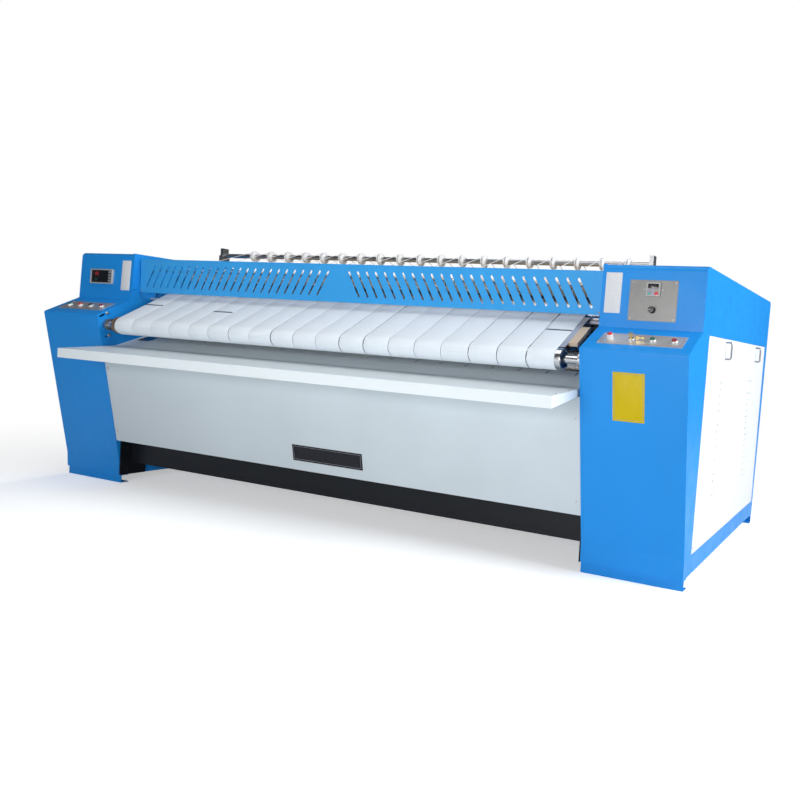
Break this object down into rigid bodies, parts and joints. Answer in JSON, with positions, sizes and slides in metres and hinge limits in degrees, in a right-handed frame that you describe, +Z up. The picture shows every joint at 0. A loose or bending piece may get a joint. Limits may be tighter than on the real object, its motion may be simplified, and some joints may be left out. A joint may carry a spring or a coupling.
{
  "type": "flatwork ironer",
  "caption": "Free-standing roller ironer: two sloping cabinets carry a heated drum wrapped by belts, with a belt feed, slotted guard, delivery tray and button consoles.",
  "frame": {"origin": "on the floor at the middle of the bounding box", "axes": "+X along the drum towards the cabinet with the key switch, +Y from the operator to the back, +Z up"},
  "size_m": [4.005, 2, 1.487],
  "materials": {
    "blue_paint": "satin powder coat",
    "white_paint": "satin powder coat",
    "pale_paint": "satin powder coat",
    "black_paint": "satin",
    "grey_paint": "enamel",
    "brushed_steel": "brushed",
    "polished_steel": "polished",
    "aluminium": "turned",
    "cast_iron": "machined",
    "brass": "polished",
    "white_belt": "woven",
    "beige_belt": "needled felt",
    "dark_plate": "matt",
    "silver_plate": "satin",
    "silver_plastic": "gloss",
    "grey_plastic": "matt",
    "black_plastic": "matt",
    "green_plastic": "gloss",
    "red_plastic": "gloss"
  },
  "bodies": {
    "frame": {"right_cabinet_shell": "blue_paint", "left_cabinet_shell": "blue_paint", "right_side_frame": "blue_paint", "left_side_frame": "blue_paint", "foot_rails": "blue_paint", "right_side_panel": "white_paint", "left_side_panel": "white_paint", "panel_handles": "brushed_steel", "guard_pins": "brass", "drum_bearings": "cast_iron", "heater_carrier": "brushed_steel", "heater_rods": "polished_steel", "feed_table": "brushed_steel", "feed_belts": "white_belt", "feed_roller_sliders": "brushed_steel", "ironing_belts": "beige_belt", "roller_bearings": "cast_iron", "guide_wheel_shaft": "brushed_steel", "guide_shaft_brackets": "brushed_steel", "guide_cords": "beige_belt", "cord_guide_rods": "brushed_steel", "chute": "pale_paint", "tray": "pale_paint", "cover_screws": "brushed_steel", "front_skirt": "white_paint", "nameplate": "dark_plate", "cross_beams": "black_paint", "rear_cover": "blue_paint", "gear_motor": "grey_paint", "drive_chain": "brushed_steel", "electrical_panel": "grey_plastic", "console_plates": "silver_plate", "control_plate": "brushed_steel", "temperature_controller": "silver_plastic", "keypad": "black_plastic", "button_bezels": "polished_steel"},
    "drum": {"drum_shell": "polished_steel", "drum_ends": "cast_iron", "drum_sprocket": "brushed_steel"},
    "motor_sprocket": {"motor_sprocket": "brushed_steel"},
    "feed_roller": {"feed_roller": "polished_steel"},
    "take_up_roller": {"take_up_roller": "blue_paint"},
    "upper_feed_roller": {"upper_feed_roller": "polished_steel"},
    "nip_roller": {"nip_roller": "polished_steel"},
    "return_roller_1": {"return_roller_1": "polished_steel"},
    "return_roller_2": {"return_roller_2": "polished_steel"},
    "return_roller_3": {"return_roller_3": "polished_steel"},
    "return_roller_4": {"return_roller_4": "polished_steel"},
    "exit_roller": {"exit_roller": "polished_steel"},
    "guide_wheels": {"guide_wheels": "aluminium"},
    "guard": {"guard": "blue_paint"},
    "speed_knob": {"speed_knob": "black_plastic"},
    "key_switch": {"key_switch": "brass"},
    "left_green_button": {"left_green_button": "green_plastic"},
    "left_red_button": {"left_red_button": "red_plastic"},
    "left_black_button": {"left_black_button": "black_plastic"},
    "left_stop_button": {"left_stop_button": "red_plastic"},
    "right_collar_button": {"right_collar_button": "red_plastic"},
    "right_green_button": {"right_green_button": "green_plastic"},
    "right_red_button": {"right_red_button": "red_plastic"}
  },
  "joints": [
    {"name": "drum_turn", "type": "hinge", "parent": "frame", "child": "drum", "pos_m": [0, -0.06, 0.92], "axis": [1, 0, 0], "continuous": true},
    {"name": "motor_sprocket_turn", "type": "hinge", "parent": "frame", "child": "motor_sprocket", "pos_m": [-1.6, 0.33, 0.33], "axis": [1, 0, 0], "continuous": true},
    {"name": "feed_roller_turn", "type": "hinge", "parent": "frame", "child": "feed_roller", "pos_m": [0, -0.736, 0.933], "axis": [1, 0, 0], "continuous": true},
    {"name": "take_up_roller_turn", "type": "hinge", "parent": "frame", "child": "take_up_roller", "pos_m": [0, -0.64, 0.958], "axis": [1, 0, 0], "continuous": true},
    {"name": "upper_feed_roller_turn", "type": "hinge", "parent": "frame", "child": "upper_feed_roller", "pos_m": [0, -0.444, 1.124], "axis": [1, 0, 0], "continuous": true},
    {"name": "nip_roller_turn", "type": "hinge", "parent": "frame", "child": "nip_roller", "pos_m": [0, -0.32119, 1.26661], "axis": [1, 0, 0], "continuous": true},
    {"name": "return_roller_1_turn", "type": "hinge", "parent": "frame", "child": "return_roller_1", "pos_m": [0, 0.12764, 1.3224], "axis": [1, 0, 0], "continuous": true},
    {"name": "return_roller_2_turn", "type": "hinge", "parent": "frame", "child": "return_roller_2", "pos_m": [0, 0.38231, 0.9587], "axis": [1, 0, 0], "continuous": true},
    {"name": "return_roller_3_turn", "type": "hinge", "parent": "frame", "child": "return_roller_3", "pos_m": [0, 0.19467, 0.5563], "axis": [1, 0, 0], "continuous": true},
    {"name": "return_roller_4_turn", "type": "hinge", "parent": "frame", "child": "return_roller_4", "pos_m": [0, -0.24764, 0.5176], "axis": [1, 0, 0], "continuous": true},
    {"name": "exit_roller_turn", "type": "hinge", "parent": "frame", "child": "exit_roller", "pos_m": [0, -0.46783, 0.77156], "axis": [1, 0, 0], "continuous": true},
    {"name": "guide_wheels_turn", "type": "hinge", "parent": "frame", "child": "guide_wheels", "pos_m": [0, 0.007, 1.44], "axis": [1, 0, 0], "continuous": true},
    {"name": "guard_swing", "type": "hinge", "parent": "frame", "child": "guard", "pos_m": [0, -0.557, 1.322], "axis": [1, 0, 0], "range_deg": [0, 8], "stiffness_Nm_per_rad": 20, "springref_deg": -6.88},
    {"name": "speed_knob_turn", "type": "hinge", "parent": "frame", "child": "speed_knob", "pos_m": [1.74, -0.60852, 1.167], "axis": [0, -0.9993, 0.0363], "range_deg": [0, 300]},
    {"name": "key_turn", "type": "hinge", "parent": "frame", "child": "key_switch", "pos_m": [1.69325, -0.71152, 1.03383], "axis": [0, -0.4657, 0.8849], "range_deg": [0, 90]},
    {"name": "left_green_button_press", "type": "slide", "parent": "frame", "child": "left_green_button", "axis": [0, 0.4657, -0.8849], "range_m": [0, 0.004], "stiffness_N_per_m": 400, "springref_m": -0.002},
    {"name": "left_red_button_press", "type": "slide", "parent": "frame", "child": "left_red_button", "axis": [0, 0.4657, -0.8849], "range_m": [0, 0.004], "stiffness_N_per_m": 400, "springref_m": -0.002},
    {"name": "left_black_button_press", "type": "slide", "parent": "frame", "child": "left_black_button", "axis": [0, 0.4657, -0.8849], "range_m": [0, 0.004], "stiffness_N_per_m": 400, "springref_m": -0.002},
    {"name": "left_stop_button_press", "type": "slide", "parent": "frame", "child": "left_stop_button", "axis": [0, 0.4657, -0.8849], "range_m": [0, 0.004], "stiffness_N_per_m": 400, "springref_m": -0.002},
    {"name": "right_collar_button_press", "type": "slide", "parent": "frame", "child": "right_collar_button", "axis": [0, 0.4657, -0.8849], "range_m": [0, 0.004], "stiffness_N_per_m": 400, "springref_m": -0.002},
    {"name": "right_green_button_press", "type": "slide", "parent": "frame", "child": "right_green_button", "axis": [0, 0.4657, -0.8849], "range_m": [0, 0.004], "stiffness_N_per_m": 400, "springref_m": -0.002},
    {"name": "right_red_button_press", "type": "slide", "parent": "frame", "child": "right_red_button", "axis": [0, 0.4657, -0.8849], "range_m": [0, 0.004], "stiffness_N_per_m": 400, "springref_m": -0.002}
  ],
  "couplings": [
    {"joint": "motor_sprocket_turn", "follows": "drum_turn", "ratio": 3.8},
    {"joint": "feed_roller_turn", "follows": "drum_turn", "ratio": 8.5106},
    {"joint": "take_up_roller_turn", "follows": "drum_turn", "ratio": 9.0909},
    {"joint": "upper_feed_roller_turn", "follows": "drum_turn", "ratio": 13.333},
    {"joint": "nip_roller_turn", "follows": "drum_turn", "ratio": -13.333},
    {"joint": "return_roller_1_turn", "follows": "drum_turn", "ratio": -13.333},
    {"joint": "return_roller_2_turn", "follows": "drum_turn", "ratio": -13.333},
    {"joint": "return_roller_3_turn", "follows": "drum_turn", "ratio": -13.333},
    {"joint": "return_roller_4_turn", "follows": "drum_turn", "ratio": -13.333},
    {"joint": "exit_roller_turn", "follows": "drum_turn", "ratio": -13.333},
    {"joint": "guide_wheels_turn", "follows": "drum_turn", "ratio": -14.035}
  ]
}
